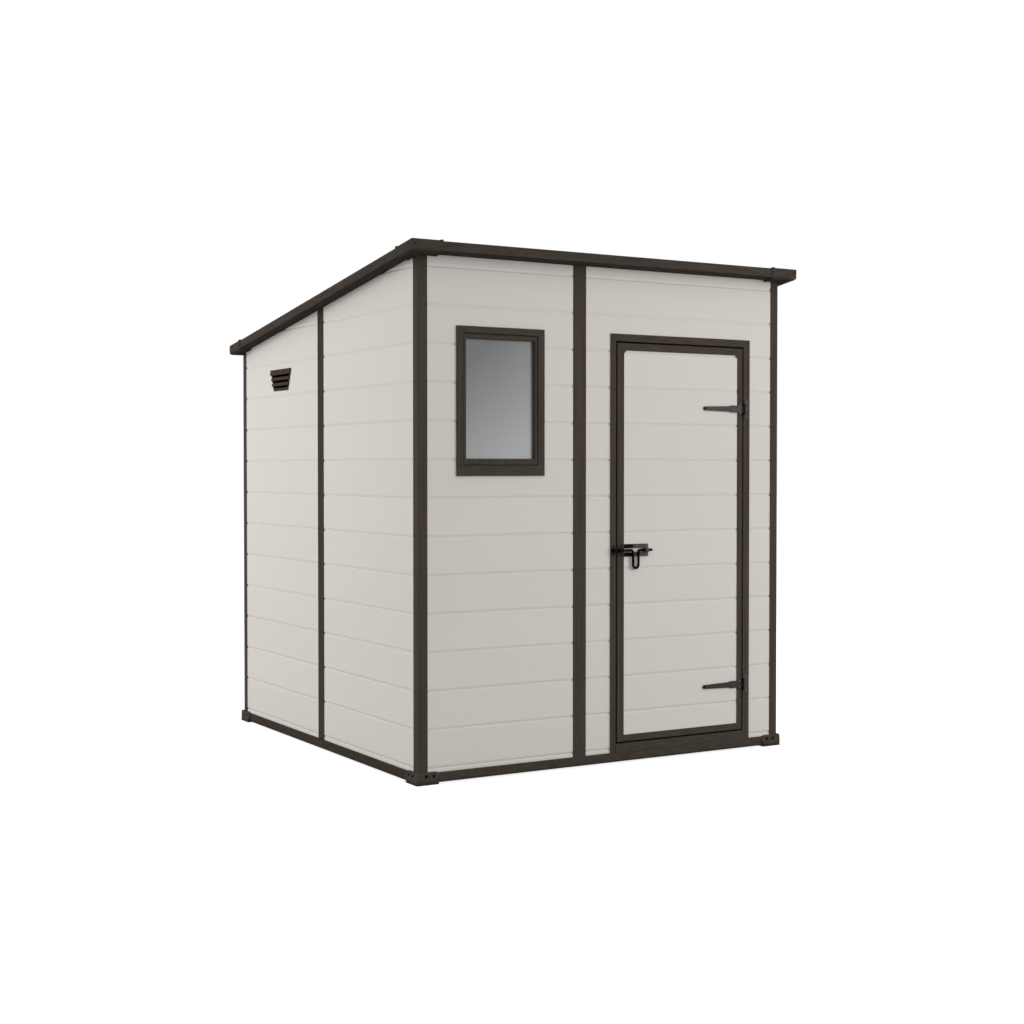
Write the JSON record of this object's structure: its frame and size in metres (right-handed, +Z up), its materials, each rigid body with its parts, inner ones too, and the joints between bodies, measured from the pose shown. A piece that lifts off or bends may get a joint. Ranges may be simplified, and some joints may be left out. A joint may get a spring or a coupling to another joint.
{
  "type": "plastic garden shed",
  "caption": "Pent-roofed plastic garden shed with planked wall panels between posts, a hinged door with a sliding bolt, a window and side vents.",
  "frame": {"origin": "on the ground, under the middle of the roof's plan", "axes": "+X from the window side to the door side across the front, +Y from the front to the back, +Z up"},
  "size_m": [1.948, 1.997, 2.1554],
  "materials": {
    "trim_plastic": "satin dark brown",
    "wall_plastic": "matte light beige with a faint wood grain",
    "black_metal": "satin black",
    "pane": "smoky semi-clear sheet",
    "floor_plastic": "matte grey brown"
  },
  "bodies": {
    "shed": {"floor_panels": "floor_plastic", "base_rail_front": "trim_plastic", "base_rail_back": "trim_plastic", "base_rail_left": "trim_plastic", "base_rail_right": "trim_plastic", "base_feet": "trim_plastic", "corner_post_front_left": "trim_plastic", "corner_post_front_right": "trim_plastic", "corner_post_back_left": "trim_plastic", "corner_post_back_right": "trim_plastic", "mid_post_front": "trim_plastic", "mid_post_back": "trim_plastic", "mid_post_left": "trim_plastic", "mid_post_right": "trim_plastic", "front_wall_window": "wall_plastic", "front_wall_beside_latch": "wall_plastic", "front_wall_beside_hinge": "wall_plastic", "front_wall_over_door": "wall_plastic", "left_wall_front": "wall_plastic", "left_wall_rear": "wall_plastic", "right_wall_front": "wall_plastic", "right_wall_rear": "wall_plastic", "back_wall_left": "wall_plastic", "back_wall_right": "wall_plastic", "window_frame": "trim_plastic", "window_bead": "trim_plastic", "window_pane": "pane", "door_jambs": "trim_plastic", "door_head": "trim_plastic", "door_sill": "trim_plastic", "hinge_plates": "black_metal", "latch_keeper": "black_metal", "side_vents": "trim_plastic", "roof_edge_front": "trim_plastic", "roof_edge_back": "trim_plastic", "roof_edge_left": "trim_plastic", "roof_edge_right": "trim_plastic", "roof_corner_caps": "trim_plastic", "roof_sheets": "trim_plastic", "roof_cover_strip": "trim_plastic", "roof_beam": "trim_plastic"},
    "door": {"door_frame": "trim_plastic", "door_panel": "wall_plastic", "hinge_straps": "black_metal", "latch_plate": "black_metal"},
    "bolt": {"latch_bolt": "black_metal"}
  },
  "joints": [
    {"name": "door_hinge", "type": "hinge", "parent": "shed", "child": "door", "pos_m": [0.71275, -0.9475, 0.9075], "axis": [0, 0, 1], "range_deg": [0, 170]},
    {"name": "bolt_slide", "type": "slide", "parent": "door", "child": "bolt", "axis": [1, 0, 0], "range_m": [-0.028, 0.02]}
  ]
}
